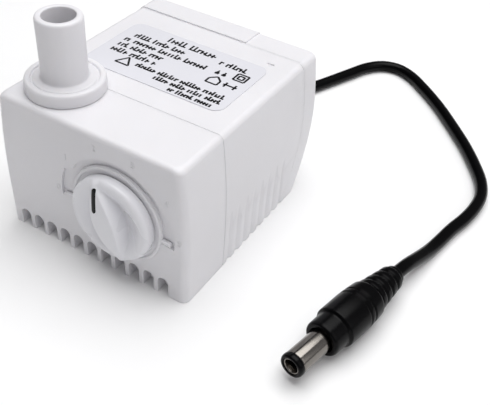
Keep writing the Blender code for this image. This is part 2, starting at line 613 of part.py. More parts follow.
def cord_route():
    """The lead's way: out of the gland, down to the surface, round behind and to the right, into the plug."""
    floor_z = CORD_D / 2 + 0.1
    start_y = REAR_Y + 6.0 + GAP
    route = [(GLAND_X, start_y, GLAND_Z), (GLAND_X, start_y + 6.0, GLAND_Z - 0.8),
             (GLAND_X + 0.7, 52.0, 13.5),
             (4.2, 60.0, 5.6), (6.2, 65.6, 2.2), (8.4, 70.8, floor_z), (11.0, 77.0, floor_z),
             (13.6, 83.4, floor_z),
             (16.6, 90.4, floor_z), (20.4, 94.8, floor_z), (25.2, 96.2, floor_z), (30.6, 94.4, floor_z),
             (36.8, 89.8, floor_z), (44.6, 82.8, floor_z), (52.6, 74.2, floor_z), (58.8, 67.0, floor_z),
             (64.2, 59.6, floor_z), (67.8, 53.6, floor_z), (69.6, 48.0, floor_z), (69.8, 42.2, floor_z),
             (69.0, 36.4, floor_z), (67.6, 30.6, floor_z), (66.6, 24.8, floor_z), (65.7, 19.6, floor_z + 0.4)]
    route += [plug_point(PLUG_LENGTH + 10.5, 1.8), plug_point(PLUG_LENGTH + 5.0, 0.45),
              plug_point(PLUG_LENGTH + GAP)]
    return route


def build_lead(mats):
    """Gland at the rear cover, the lead, and the coaxial plug with its moulded grip and strain relief."""
    seat = REAR_Y
    inner = CORD_D / 2 + 0.4
    gland = [(inner, seat - 3.4), (2.9, seat - 3.4), (2.9, seat + GAP), (GLAND_FLANGE_R, seat + GAP),
             (GLAND_FLANGE_R, seat + 1.6), (3.1, seat + 2.2), (2.5, seat + 6.0), (inner, seat + 6.0)]
    turned("cord_gland", gland, mats["pvc"], (GLAND_X, 0, GLAND_Z), (0, 1, 0), SEG_INNER, ring=True)
    tube_along("power_cord", smooth_route(cord_route(), CORD_D * 2.2), CORD_D, mats["pvc"])
    for side, word in ((-1, "left"), (1, "right")):
        wire = [(side * 13.0, COIL_Y1 + 0.7, 30.0), (side * 12.4, 18.4, 29.6), (side * 9.0, 20.6, 27.8),
                (side * 3.0 + 1.6, 21.8, 23.4), (GLAND_X + side * 0.75, 23.0, GLAND_Z + 0.4),
                (GLAND_X + side * 0.75, 25.0, GLAND_Z), (GLAND_X + side * 0.75, REAR_Y - 3.8, GLAND_Z)]
        tube_along("lead_wire_" + word, smooth_route(wire, 2.4), 1.1, mats["wire"], 1)
    axis = PLUG_DIR

    def part(name, profile, mat, ring=True, segments=SEG_INNER):
        turned(name, profile, mat, PLUG_TIP, axis, segments, ring=ring)

    part("plug_barrel", [(2.35, 1.6), (2.55, 1.6), (2.75, 1.9), (2.75, 13.0), (2.35, 13.0)], mats["nickel"])
    part("plug_insulator", [(1.55, 0.5), (1.75, 0.1), (2.2, 0.0), (2.55, 0.35), (2.6, 1.3), (2.05, 1.3),
                            (2.05, 12.0),
                            (1.55, 12.0)], mats["pvc"])
    part("plug_contact", [(1.05, 0.3), (1.25, 0.3), (1.25, 12.6), (1.05, 12.6)], mats["nickel"])
    grip = [(3.05, 9.8), (3.9, 9.8), (4.25, 10.3), (4.3, 13.9), (4.75, 14.3), (5.0, 15.0), (5.0, 21.2),
            (4.75, 21.5),
            (4.95, 21.8), (4.9, 22.8), (4.65, 23.1), (4.85, 23.4), (4.6, 26.4), (4.3, 26.8), (3.05, 26.8)]
    part("plug_grip", grip, mats["pvc"], segments=32)
    relief = [(0.9, 27.1), (4.0, 27.1)]
    for k in range(4):
        s = 27.4 + 2.4 * k
        r = 4.15 - 0.33 * k
        relief += [(r, s), (r - 0.2, s + 1.6), (r - 0.6, s + 1.9), (r - 0.6, s + 2.2)]
    relief += [(2.4, PLUG_LENGTH), (0.9, PLUG_LENGTH)]
    part("plug_strain_relief", relief, mats["pvc"])


def build_fill_and_label(mats):
    """Resin behind the stator, and the rating label on top."""
    resin = casing("potting_resin", CORE_REAR_Y + 2.2, lambda z: rear_y(z) - 2 * WALL - GAP, mats["resin"],
                   inset=WALL + 2 * GAP, z0=13.0, z1=BODY_H - WALL - GAP)
    cut(resin, turned("wire_way", [(2.6, CORE_REAR_Y), (2.6, REAR_Y)], mats["resin"], (GLAND_X, 0, GLAND_Z),
                      (0, 1, 0),
                      SEG_INNER))
    z = BODY_H + 0.02
    outline = rounded_rect(-19.3, 19.2, -5.0, 17.2, (2.6,) * 4)
    loft("rating_label", [[(x, y, h) for x, y in outline] for h in (z + 0.01, z + 0.13)], mats["label"])
    return resin


def main():
    """Build every piece."""
    clear_scene()
    mats = {
        "casing": material("casing_white_abs", "#e9e9ec", 0.38),
        "dial": material("dial_white_abs", "#f1f1f3", 0.3),
        "ink": material("black_ink", "#0b0b0c", 0.5),
        "grey": material("grey_abs", "#c9cbce", 0.45),
        "impeller": material("impeller_pp", "#3d6fa8", 0.4),
        "rubber": material("nitrile_rubber", "#1b1b1c", 0.7),
        "magnet": material("ferrite", "#3a3a3c", 0.6),
        "ceramic": material("alumina", "#f2efe6", 0.25),
        "steel": material("lamination_steel", "#8b8d90", 0.4, 1.0),
        "nylon": material("bobbin_nylon", "#dfe6d8", 0.5),
        "copper": material("enamelled_copper", "#b8652c", 0.3, 1.0),
        "wire": material("wire_pvc", "#b02a22", 0.5),
        "resin": material("epoxy_resin", "#2a2320", 0.35),
        "pvc": material("black_pvc", "#141416", 0.42),
        "nickel": material("nickel_plate", "#b9b4ac", 0.22, 1.0),
        "label": material("clear_label", "#eeeff2", 0.25),
    }
    build_front_cover(mats)
    build_flow_dial(mats)
    build_outlet(mats)
    build_pump_chamber(mats)
    build_rotor(mats)
    build_motor_housing(mats)
    build_rear_cover(mats)
    build_stator(mats)
    build_lead(mats)
    build_fill_and_label(mats)


main()
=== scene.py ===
"""Looks of a small fountain pump: moulded white casing, flow dial, outlet tube, printed label and lead.

Every size below is in millimetres and MM turns it into metres. Frame: +X right, +Y back, +Z up, and the
origin is under the middle of the pump on the surface it stands on.
"""

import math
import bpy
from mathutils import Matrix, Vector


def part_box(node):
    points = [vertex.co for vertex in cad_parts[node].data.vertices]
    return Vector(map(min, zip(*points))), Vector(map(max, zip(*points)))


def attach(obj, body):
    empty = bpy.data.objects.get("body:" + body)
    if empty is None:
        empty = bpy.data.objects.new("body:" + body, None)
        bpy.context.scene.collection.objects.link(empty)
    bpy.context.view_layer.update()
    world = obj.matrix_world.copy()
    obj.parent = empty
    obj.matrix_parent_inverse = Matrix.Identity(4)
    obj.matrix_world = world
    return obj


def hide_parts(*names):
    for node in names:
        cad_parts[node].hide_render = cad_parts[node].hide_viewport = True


bl_info = {
    "name": "Fountain Pump Looks",
    "version": (1, 0, 0),
    "blender": (4, 5, 0),
    "location": "3D Viewport > Sidebar > Pump",
    "description": "Builds the visible pieces, finishes and stage of a small fountain pump",
    "category": "Object",
}

import bmesh
import bpy
import numpy as np
from bpy.props import FloatProperty, FloatVectorProperty, PointerProperty
from bpy.types import Operator, Panel, PropertyGroup
from mathutils import Matrix, Vector

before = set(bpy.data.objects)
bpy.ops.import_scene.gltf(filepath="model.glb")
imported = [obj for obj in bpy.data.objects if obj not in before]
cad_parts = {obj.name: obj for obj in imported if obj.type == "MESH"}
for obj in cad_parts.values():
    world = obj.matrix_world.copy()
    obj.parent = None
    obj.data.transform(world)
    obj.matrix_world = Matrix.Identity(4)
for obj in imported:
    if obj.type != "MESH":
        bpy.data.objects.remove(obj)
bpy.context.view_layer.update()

MM = 0.001

# Casing
BODY_H = 37.2            # height of the casing
HALF_W_TOP = 24.4        # half widths of the barrel-sided casing
HALF_W_MAX = 26.1
HALF_W_BOTTOM = 25.9
BULGE_Z = 14.0           # height where the sides are widest
FACE_Y = -26.8           # front face
SEAM_Y = -11.5           # joint between front cover and motor housing
REAR_Y = 31.8            # rear face at the top
REAR_TAPER = 8.0         # how far it comes forward at the bottom
REAR_TAPER_Z = 26.0      # height below which it does so
CAP_DEPTH = 7.4          # the rear cover's joint is this far forward of the rear face
EDGE_R = 1.4             # round of the casing's top edges
GAP = 0.3                # clearance between neighbouring parts
TONGUE_HALF_W = 0.45     # half width of the tongues in the casing's joints
TONGUE_DEPTH = 1.1

# Flow dial
DIAL_X = 7.5
DIAL_Z = 18.0
DIAL_R = 10.5
DIAL_TILT = 18.0         # degrees the grip leans to the left, seen from the front
RIM_PROUD = 3.1          # the rim stands this far out of the front face
RIDGE_PROUD = 5.0        # and the grip this far
RIDGE_DOME = 1.7         # how much lower the grip is at its ends
DISH_START = 1.3         # the dish starts this far inside the dial's edge
DISH_RUN = 5.2           # and takes this long to reach its depth
GRIP_END = 0.6           # the grip's ends stop this far inside the dial's edge
FLANK_START = 0.3        # the grip's flanks start this far inside its outline
FLANK_RUN = 1.15         # and are this wide
POINTER_LOW = 3.3        # height of the pointer bar's foot above the dial's centre, grip upright
POINTER_HIGH = 9.1       # height of its head
POINTER_FOOT_X = -1.15   # how far its foot is to the right of the centre
POINTER_LEAN = 0.25      # its shift to the right per unit of height
POINTER_HALF_W = 0.68
DIAL_BACK = 0.15         # clearance between dial and front face
SHAFT_R = 2.6
SHAFT_END = -3.5         # the shaft ends this far behind the front face
COLLAR_R = 11.75         # bead moulded round the dial
COLLAR_HALF_W = 0.45
COLLAR_PROUD = 0.32
NUMERAL_R = 16.6         # circle that the numerals stand on
NUMERAL_SIZE = 2.3
NUMERAL_STEP = 36.0      # degrees from one numeral to the next
NUMERAL_COUNT = 6
MARK_W = 0.8             # width of the two marks at the ends of the dial's travel
MARKS = ((184.0, 12.4, 14.8), (-6.0, 12.2, 14.6))    # their angles, inner and outer radii

# Outlet
OUT_X = -13.7
OUT_Y = -16.2
OUT_R = 5.15
BORE_R = 3.65
OUT_TOP_Z = 54.8
FLANGE_R = 9.0
FLANGE_H = 2.9
SPIGOT_R = 4.9

# Lead and plug
GLAND_X = 2.0
GLAND_Z = 20.0
GLAND_LENGTH = 6.0       # the gland's nose behind the rear face
CORD_D = 3.3
PLUG_TIP = (55.2, -32.1, 5.05)
PLUG_DIR = (0.2005, 0.9797, 0.0)
PLUG_LENGTH = 37.3

# Stage
CAMERA_TARGET = (30.43, -10.92, 21.7)
SENSOR_W = 36.0
KEY_PLACE = (15.0, 85.0, 600.0)      # the soft light overhead
KEY_SIZE = 600.0
SIDE_PLACE = (500.0, -20.0, 300.0)   # the soft light at the right
SIDE_SIZE = 400.0
LIGHT_TARGET = (0.0, 0.0, 20.0)
FLOOR_HALF_W = 3000.0
FLOOR_Z = -0.02
SKY_TILT = 0.65          # share of the sky's strength that it gains to the right and loses to the left

# Print on the label: rows of dashes as (left, right, middle y, letter height, seed)
PRINT_ROWS = (
    (-7.6, 7.0, 14.5, 2.3, 11), (-16.5, -1.0, 11.5, 2.0, 12), (8.2, 16.4, 13.0, 2.0, 13),
    (-16.6, 8.0, 8.8, 2.0, 14), (-16.4, -4.2, 6.1, 2.0, 15), (-16.4, -4.0, 3.4, 2.0, 16),
    (-7.0, 17.2, 0.6, 1.7, 17), (-1.2, 17.2, -1.5, 1.7, 18), (5.0, 17.2, -3.6, 1.6, 19),
)


def linear(hex_colour):
    """Turn an sRGB hex colour into linear RGBA."""
    parts = [int(hex_colour[i:i + 2], 16) / 255.0 for i in (1, 3, 5)]
    return tuple(c / 12.92 if c <= 0.04045 else ((c + 0.055) / 1.055) ** 2.4 for c in parts) + (1.0,)


def length_property(name, description, default, low, high):
    """A length in metres, given here in millimetres."""
    return FloatProperty(name=name, description=description, default=default * MM, min=low * MM, max=high * MM,
                         unit="LENGTH", subtype="DISTANCE", precision=5)


def colour_property(name, description, hex_colour):
    """A colour shown as a swatch, given as sRGB hex."""
    return FloatVectorProperty(name=name, description=description, default=linear(hex_colour), min=0.0, max=1.0,
                               size=4, subtype="COLOR")


class PumpSizes(PropertyGroup):
    """Sizes of the details that don't come from the frame."""

    rim_round: length_property("Rim round", "Round of the dial's rim", 1.25, 0.3, 2.0)
    hollow: length_property("Hollow", "Depth of the dial's two hollows below its rim", 2.1, 0.2, 2.6)
    grip_half_width: length_property("Grip half width", "Half width of the dial's grip at its middle",
                                     3.0, 2.0, 5.0)
    casing_edge: length_property("Casing edge", "Round of the casing's moulded edges", 0.2, 0.05, 0.6)
    stroke: length_property("Stroke", "Width of a printed stroke", 0.5, 0.1, 0.6)
    relief: length_property("Relief", "Height of the raised numerals", 0.12, 0.05, 0.4)


class PumpColours(PropertyGroup):
    """Colours of the visible finishes."""

    casing: colour_property("Casing", "Moulded ABS of the casing", "#e4e3e6")
    dial: colour_property("Dial", "Moulded ABS of the dial", "#e8e8ec")
    label: colour_property("Label", "Clear film over the casing", "#e0e0e6")
    ink: colour_property("Ink", "Printed marks and the pointer", "#0c0c0e")
    lead: colour_property("Lead", "Black PVC of the lead and the plug", "#020203")
    plating: colour_property("Plating", "Nickel plating of the plug", "#7f7b76")


class PumpStage(PropertyGroup):
    """Camera, lights and floor."""

    azimuth: FloatProperty(name="Azimuth", description="Camera's turn to the right of the front",
                           default=math.radians(28.79), subtype="ANGLE")
    elevation: FloatProperty(name="Elevation", description="Camera's height above the level",
                             default=math.radians(40.69), subtype="ANGLE")
    roll: FloatProperty(name="Roll", description="Camera's tilt about its own axis",
                        default=math.radians(4.16), subtype="ANGLE")
    distance: length_property("Distance", "Camera to target", 167.35, 50.0, 2000.0)
    lens: FloatProperty(name="Lens", description="Focal length on a 36 mm sensor", default=56.42, unit="CAMERA")
    key_power: FloatProperty(name="Key power", description="Power of the soft light overhead", default=4.0,
                             unit="POWER")
    side_power: FloatProperty(name="Side power", description="Power of the soft light at the right",
                              default=0.35, unit="POWER")
    sky: FloatProperty(name="Sky", description="Mean strength of the light from all round",
                       default=0.25, min=0.0, max=2.0)


# ---------------------------------------------------------------- shapes


def mesh_object(name, vertices, faces, sharp_degrees=38.0):
    """Object at the origin from points in metres: doubles merged, faces pointing out, smooth up to an angle."""
    mesh = bpy.data.meshes.new(name)
    mesh.from_pydata(np.asarray(vertices).reshape(-1, 3).tolist(), [], np.asarray(faces).tolist())
    bm = bmesh.new()
    bm.from_mesh(mesh)
    bmesh.ops.remove_doubles(bm, verts=bm.verts, dist=1e-7)
    bmesh.ops.recalc_face_normals(bm, faces=bm.faces)
    bm.to_mesh(mesh)
    bm.free()
    mesh.shade_smooth()
    mesh.set_sharp_from_angle(angle=math.radians(sharp_degrees))
    obj = bpy.data.objects.new(name, mesh)
    bpy.context.scene.collection.objects.link(obj)
    return obj


def grid_faces(rows, columns, wrap_rows, wrap_columns):
    """Quads of a grid whose points are numbered row by row, joined to itself where a direction wraps."""
    i = np.arange(rows if wrap_rows else rows - 1)[:, None]
    j = np.arange(columns if wrap_columns else columns - 1)[None, :]
    below, beside = (i + 1) % rows, (j + 1) % columns
    quads = [i * columns + j, i * columns + beside, below * columns + beside, below * columns + j]
    return np.stack([np.broadcast_to(q, (i.size, j.size)) for q in quads], axis=-1).reshape(-1, 4)


def rounded_profile(corners, steps=6):
    """Closed outline of (radius, height, fillet) corners in millimetres.

    Each corner is a quadratic curve that leaves and meets its two sides one fillet length from the corner.
    """
    table = np.array(corners, float)
    corner, fillet = table[:, :2], table[:, 2]

    def toward(other):
        side = other - corner
        length = np.maximum(np.linalg.norm(side, axis=1), 1e-9)
        return corner + side * (np.minimum(fillet, 0.48 * length) / length)[:, None]

    start, end = toward(np.roll(corner, 1, axis=0)), toward(np.roll(corner, -1, axis=0))
    t = np.linspace(0.0, 1.0, steps)[None, :, None]
    curve = (1 - t) ** 2 * start[:, None] + 2 * t * (1 - t) * corner[:, None] + t ** 2 * end[:, None]
    return curve.reshape(-1, 2)


def turned_surface(name, profile, origin, axis, segments=96):
    """Carry a closed (radius, height) outline round an axis: origin + height * axis + radius * (cos, sin)."""
    along = np.array(Vector(axis).normalized())
    across = np.cross(along, (0.0, 0.0, 1.0) if abs(along[2]) < 0.9 else (1.0, 0.0, 0.0))
    across /= np.linalg.norm(across)
    third = np.cross(along, across)
    turn = np.linspace(0.0, 2.0 * np.pi, segments, endpoint=False)
    ring = np.cos(turn)[:, None] * across + np.sin(turn)[:, None] * third
    radius, height = profile[:, 0], profile[:, 1]
    points = np.array(origin) + height[:, None, None] * along + radius[:, None, None] * ring[None]
    return mesh_object(name, points * MM, grid_faces(len(profile), segments, True, True))


def smooth_step(t):
    """0 below 0, 1 above 1, and 3t^2 - 2t^3 between."""
    t = np.clip(t, 0.0, 1.0)
    return t * t * (3.0 - 2.0 * t)


def dial_proud(x, z, hollow, grip_w):
    """How far the dial's front stands out at (x, z) about its centre, with its grip upright.

    Inside the rim the dish sinks smoothly towards the grip. The grip is a lens of half width w(1 - (z/l)^2)
    whose crest falls as the square of the radius, and its flanks blend into the dish.
    """
    r = np.hypot(x, z)
    dish = RIM_PROUD - hollow * smooth_step((DIAL_R - DISH_START - r) / DISH_RUN)
    crest = RIDGE_PROUD - RIDGE_DOME * (r / DIAL_R) ** 2
    lens = grip_w * (1.0 - (z / (DIAL_R - GRIP_END)) ** 2)
    flank = smooth_step((np.abs(x) - lens + FLANK_START) / FLANK_RUN)
    return dish + np.maximum(crest - dish, 0.0) * (1.0 - flank)


def to_dial_plane(x, z, proud):
    """World points in millimetres of (x, z) about the dial's centre, turned with the grip."""
    a = math.radians(DIAL_TILT)
    right = DIAL_X + x * math.cos(a) - z * math.sin(a)
    up = DIAL_Z + x * math.sin(a) + z * math.cos(a)
    return np.stack([right, FACE_Y - proud, up], axis=-1)


def dial_surface(name, sizes, segments=256):
    """The dial as one grid: front by dial_proud, a quarter-round rim, side, back, shaft and its end."""
    rim = sizes.rim_round / MM
    inner = np.linspace(0.0, 1.0, 72) ** 0.8 * (DIAL_R - rim)
    quarter = np.linspace(0.0, np.pi / 2, 9)[1:]
    turn = np.linspace(0.0, 2.0 * np.pi, segments, endpoint=False)[None]
    x, z = inner[:, None] * np.cos(turn), inner[:, None] * np.sin(turn)
    front = to_dial_plane(x, z, dial_proud(x, z, sizes.hollow / MM, sizes.grip_half_width / MM))
    edge = FACE_Y - front[-1:, :, 1]
    r = (DIAL_R - rim + rim * np.sin(quarter))[:, None]
    corner = to_dial_plane(r * np.cos(turn), r * np.sin(turn), edge - rim * (1.0 - np.cos(quarter))[:, None])
    back = np.array([(DIAL_R, DIAL_BACK + 0.2), (DIAL_R - 0.2, DIAL_BACK), (SHAFT_R, DIAL_BACK),
                     (SHAFT_R, SHAFT_END + 0.4), (SHAFT_R - 0.4, SHAFT_END), (0.0, SHAFT_END)])
    rest = to_dial_plane(back[:, :1] * np.cos(turn), back[:, :1] * np.sin(turn), back[:, 1:] + 0.0 * turn)
    points = np.concatenate([front, corner, rest])
    return mesh_object(name, points * MM, grid_faces(len(points), segments, False, True), 60.0)


def pointer_surface(name, sizes):
    """Pointer bar with round ends: a rounded section carried up the grip along x = a + b z.

    The half width at z is w * sqrt(1 - e^2), where e is how far z is into an end's half circle.
    """
    low, high, half_w = POINTER_LOW, POINTER_HIGH, POINTER_HALF_W
    bend = np.linspace(0.0, np.pi / 2, 9)[:-1]
    z = np.concatenate([low + half_w * (1.0 - np.cos(bend)), np.linspace(low + half_w, high - half_w, 30),
                        high - half_w * (1.0 - np.cos(bend[::-1]))])
    into_end = np.clip(np.maximum(low + half_w - z, z - high + half_w) / half_w, 0.0, 1.0)
    width = half_w * np.sqrt(1.0 - into_end ** 2)
    section = np.array([(-1.0, -0.9), (-1.0, -0.1), (-0.86, 0.02), (-0.5, 0.07), (0.0, 0.09), (0.5, 0.07),
                        (0.86, 0.02), (1.0, -0.1), (1.0, -0.9)])
    x = width[:, None] * section[:, 0] + (POINTER_FOOT_X + POINTER_LEAN * (z - low))[:, None]
    up = z[:, None] + 0.0 * x
    proud = dial_proud(x, up, sizes.hollow / MM, sizes.grip_half_width / MM)
    points = to_dial_plane(x, up, proud + section[:, 1])
    return mesh_object(name, points * MM, grid_faces(len(z), len(section), False, True), 50.0)


def half_width(z):
    """Half width of the casing at height z: widest at BULGE_Z, curving in as the square of the distance."""
    above = HALF_W_MAX - (HALF_W_MAX - HALF_W_TOP) * ((z - BULGE_Z) / (BODY_H - BULGE_Z)) ** 2
    below = HALF_W_MAX - (HALF_W_MAX - HALF_W_BOTTOM) * ((BULGE_Z - z) / BULGE_Z) ** 2
    return np.where(z > BULGE_Z, above, below)


def rear_y(z):
    """Rear face at height z: upright above REAR_TAPER_Z, and below it forward as the square of the depth."""
    return REAR_Y - REAR_TAPER * np.maximum(0.0, 1.0 - z / REAR_TAPER_Z) ** 2


def tongue_surface(name, joint_y, inset):
    """Tongue in a joint of the casing: a small rectangle carried round the casing's section, set in by inset.

    joint_y gives the joint's y at a height, and the section is half_width with quarter rounds at the top.
    """
    z = np.linspace(0.5, BODY_H - EDGE_R, 24)
    a = np.linspace(0.0, np.pi / 2, 8)[1:]
    top = half_width(np.array(BODY_H - EDGE_R))
    side = np.concatenate([np.stack([half_width(z), z], axis=1),
                           np.stack([top - EDGE_R * (1 - np.cos(a)), BODY_H - EDGE_R * (1 - np.sin(a))],
                                    axis=1)])
    outline = np.concatenate([side, side[::-1] * (-1.0, 1.0)])
    middle = np.array([0.0, BODY_H / 2])
    spread = np.array([HALF_W_MAX, BODY_H / 2])
    profile = ((inset, -TONGUE_HALF_W), (inset, TONGUE_HALF_W), (TONGUE_DEPTH, TONGUE_HALF_W),
               (TONGUE_DEPTH, -TONGUE_HALF_W))
    rings = []
    for depth, y in profile:
        ring = middle + (outline - middle) * (1.0 - depth / spread)
        rings.append(np.stack([ring[:, 0], joint_y(ring[:, 1]) + y, ring[:, 1]], axis=1))
    return mesh_object(name, np.array(rings) * MM, grid_faces(len(profile), len(outline), True, True))


def stroke_boxes(segments, low, high):
    """Boxes along (x0, y0, x1, y1, width) segments from height low to high, as points and quads."""
    table = np.array(segments, float)
    start, end, width = table[:, 0:2], table[:, 2:4], table[:, 4:5]
    along = (end - start) / np.maximum(np.linalg.norm(end - start, axis=1, keepdims=True), 1e-9)
    side = np.stack([-along[:, 1], along[:, 0]], axis=1) * width / 2
    ring = np.stack([start - side, end - side, end + side, start + side], axis=1)
    corners = np.concatenate([np.concatenate([ring, np.full(ring.shape[:2] + (1,), h)], axis=2)
                              for h in (low, high)], axis=1)
    cube = np.array([(0, 3, 2, 1), (4, 5, 6, 7), (0, 1, 5, 4), (1, 2, 6, 5), (2, 3, 7, 6), (3, 0, 4, 7)])
    faces = cube[None] + 8 * np.arange(len(table))[:, None, None]
    return corners.reshape(-1, 3), faces.reshape(-1, 4)


def dashes_in_row(left, right, middle, height, seed, stroke):
    """Strokes that fill a row with the grey of small print and spell nothing.

    They are uprights of mixed height, some tied by a short level stroke, with a space after every few.
    """
    rng = np.random.default_rng(seed)
    pitch = 0.46 * height
    x = np.arange(left, right, pitch)
    count = np.arange(x.size)
    keep = (count + seed) % (6 + seed % 3) != 0
    kind = rng.random(x.size)
    low = np.full(x.size, middle - height / 2)
    high = middle + height / 2 - np.where(kind > 0.35, 0.3 * height, 0.0)
    upright = np.stack([x, low, x, high, np.full(x.size, stroke)], axis=1)[keep]
    level_y = np.select([kind > 0.75, kind > 0.4], [high - stroke / 2, 0.5 * (low + high)], low + stroke / 2)
    level = np.stack([x, level_y, x + 0.8 * pitch, level_y, np.full(x.size, stroke)], axis=1)
    return np.concatenate([upright, level[keep & (rng.random(x.size) > 0.2)]])


def symbol_strokes(stroke):
    """Plain outlines beside the rows: a triangle, two nested squares, a five-sided house and two drops."""
    def outline(points):
        points = np.array(points, float)
        ends = np.roll(points, -1, axis=0)
        return np.concatenate([points, ends, np.full((len(points), 1), stroke)], axis=1)

    def square(x, y, half):
        return [(x - half, y - half), (x + half, y - half), (x + half, y + half), (x - half, y + half)]

    shapes = [outline([(-12.2, -1.2), (-8.4, -1.2), (-10.3, 2.0)]), outline(square(15.7, 9.8, 1.45)),
              outline(square(15.7, 9.8, 0.7)),
              outline([(9.6, 4.0), (12.6, 4.0), (12.6, 5.8), (11.1, 7.2), (9.6, 5.8)]),
              np.array([(13.6, 5.4, 17.2, 5.4, stroke), (14.2, 4.4, 14.2, 6.4, stroke),
                        (16.6, 4.4, 16.6, 6.4, stroke)])]
    drop = np.array([(0.0, -0.75, 0.0, -0.55, 0.9), (0.0, -0.6, 0.0, 0.0, 1.15), (0.0, -0.05, 0.0, 0.35, 0.8),
                     (0.0, 0.3, 0.0, 0.95, 0.4)])
    for x in (9.9, 11.7):
        shapes.append(drop + (x, 8.8, x, 8.8, 0.0))
    return np.concatenate(shapes)


def numeral_mesh(name, sizes):
    """Numerals on a half circle round the dial, each a solid text turned into a mesh on the front face."""
    bm = bmesh.new()
    for number in range(NUMERAL_COUNT):
        text = bpy.data.curves.new("numeral", "FONT")
        text.body = str(number)
        text.size = NUMERAL_SIZE * MM
        text.align_x = "CENTER"
        text.align_y = "CENTER"
        text.extrude = sizes.relief
        carrier = bpy.data.objects.new("numeral", text)
        mesh = bpy.data.meshes.new_from_object(carrier)
        a = math.radians(180.0 - NUMERAL_STEP * number)
        place = Matrix.Translation(Vector((DIAL_X + NUMERAL_R * math.cos(a), FACE_Y,
                                           DIAL_Z + NUMERAL_R * math.sin(a))) * MM)
        mesh.transform(place @ Matrix.Rotation(math.radians(90.0), 4, "X"))
        bm.from_mesh(mesh)
        bpy.data.meshes.remove(mesh)
        bpy.data.objects.remove(carrier)
    bmesh.ops.remove_doubles(bm, verts=bm.verts, dist=1e-7)
    bmesh.ops.recalc_face_normals(bm, faces=bm.faces)
    mesh = bpy.data.meshes.new(name)
    bm.to_mesh(mesh)
    bm.free()
    obj = bpy.data.objects.new(name, mesh)
    bpy.context.scene.collection.objects.link(obj)
    return obj


def edged_copy(node, name, edge):
    """Merged copy of a CAD node with flat faces joined and its moulded edges rounded."""
    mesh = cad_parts[node].data.copy()
    mesh.name = name
    bm = bmesh.new()
    bm.from_mesh(mesh)
    bmesh.ops.remove_doubles(bm, verts=bm.verts, dist=2e-6)
    bmesh.ops.dissolve_limit(bm, angle_limit=math.radians(0.6), verts=bm.verts, edges=bm.edges)
    bm.to_mesh(mesh)
    bm.free()
    mesh.materials.clear()
    mesh.shade_smooth()
    mesh.set_sharp_from_angle(angle=math.radians(32.0))
    obj = bpy.data.objects.new(name, mesh)
    bpy.context.scene.collection.objects.link(obj)
    if edge > 0.0:
        bevel = obj.modifiers.new("edge", "BEVEL")
        bevel.width = edge
        bevel.segments = 3
        bevel.limit_method = "ANGLE"
        bevel.angle_limit = math.radians(40.0)
        bevel.use_clamp_overlap = True
        weighted = obj.modifiers.new("normals", "WEIGHTED_NORMAL")
        weighted.keep_sharp = False
    return obj


def smooth_path(points, spacing):
    """Centripetal Catmull-Rom curve through the points, all spans at once, read at an even spacing."""
    key = np.array(points, float)
    key = np.concatenate([[2 * key[0] - key[1]], key, [2 * key[-1] - key[-2]]])
    knot = np.concatenate([[0.0], np.cumsum(np.sqrt(np.linalg.norm(np.diff(key, axis=0), axis=1)))])
    p0, p1, p2, p3 = (key[k:len(key) - 3 + k, None] for k in range(4))
    t0, t1, t2, t3 = (knot[k:len(key) - 3 + k, None, None] for k in range(4))
    t = t1 + (t2 - t1) * np.linspace(0.0, 1.0, 24)[None, :, None]
    a1 = (t1 - t) / (t1 - t0) * p0 + (t - t0) / (t1 - t0) * p1
    a2 = (t2 - t) / (t2 - t1) * p1 + (t - t1) / (t2 - t1) * p2
    a3 = (t3 - t) / (t3 - t2) * p2 + (t - t2) / (t3 - t2) * p3
    b1 = (t2 - t) / (t2 - t0) * a1 + (t - t0) / (t2 - t0) * a2
    b2 = (t3 - t) / (t3 - t1) * a2 + (t - t1) / (t3 - t1) * a3
    fine = ((t2 - t) / (t2 - t1) * b1 + (t - t1) / (t2 - t1) * b2).reshape(-1, 3)
    along = np.concatenate([[0.0], np.cumsum(np.linalg.norm(np.diff(fine, axis=0), axis=1))])
    even = np.linspace(0.0, along[-1], int(round(along[-1] / spacing)) + 1)
    return np.stack([np.interp(even, along, fine[:, k]) for k in range(3)], axis=1)


def plug_point(s, drop=0.0):
    """Point at distance s behind the plug's tip, along its axis."""
    tip = np.array(PLUG_TIP) + s * np.array(PLUG_DIR)
    return (tip[0], tip[1], PLUG_TIP[2] - drop)


def cord_points():
    """The lead's way: straight out of the gland, down to the surface, round behind, into the plug."""
    floor_z = CORD_D / 2 + 0.1
    start_y = REAR_Y + GLAND_LENGTH + GAP
    route = [(GLAND_X, start_y, GLAND_Z), (GLAND_X, start_y + 6.0, GLAND_Z - 0.8), (GLAND_X + 0.7, 52.0, 13.5),
             (4.2, 60.0, 5.6), (6.2, 65.6, 2.2), (8.4, 70.8, floor_z), (11.0, 77.0, floor_z),
             (13.6, 83.4, floor_z),
             (16.6, 90.4, floor_z), (20.4, 94.8, floor_z), (25.2, 96.2, floor_z), (30.6, 94.4, floor_z),
             (36.8, 89.8, floor_z), (44.6, 82.8, floor_z), (52.6, 74.2, floor_z), (58.8, 67.0, floor_z),
             (64.2, 59.6, floor_z), (67.8, 53.6, floor_z), (69.6, 48.0, floor_z), (69.8, 42.2, floor_z),
             (69.0, 36.4, floor_z), (67.6, 30.6, floor_z), (66.6, 24.8, floor_z), (65.7, 19.6, floor_z + 0.4)]
    route += [plug_point(PLUG_LENGTH + 10.5, 1.8), plug_point(PLUG_LENGTH + 5.0, 0.45),
              plug_point(PLUG_LENGTH + GAP)]
    return smooth_path(route, 1.6)


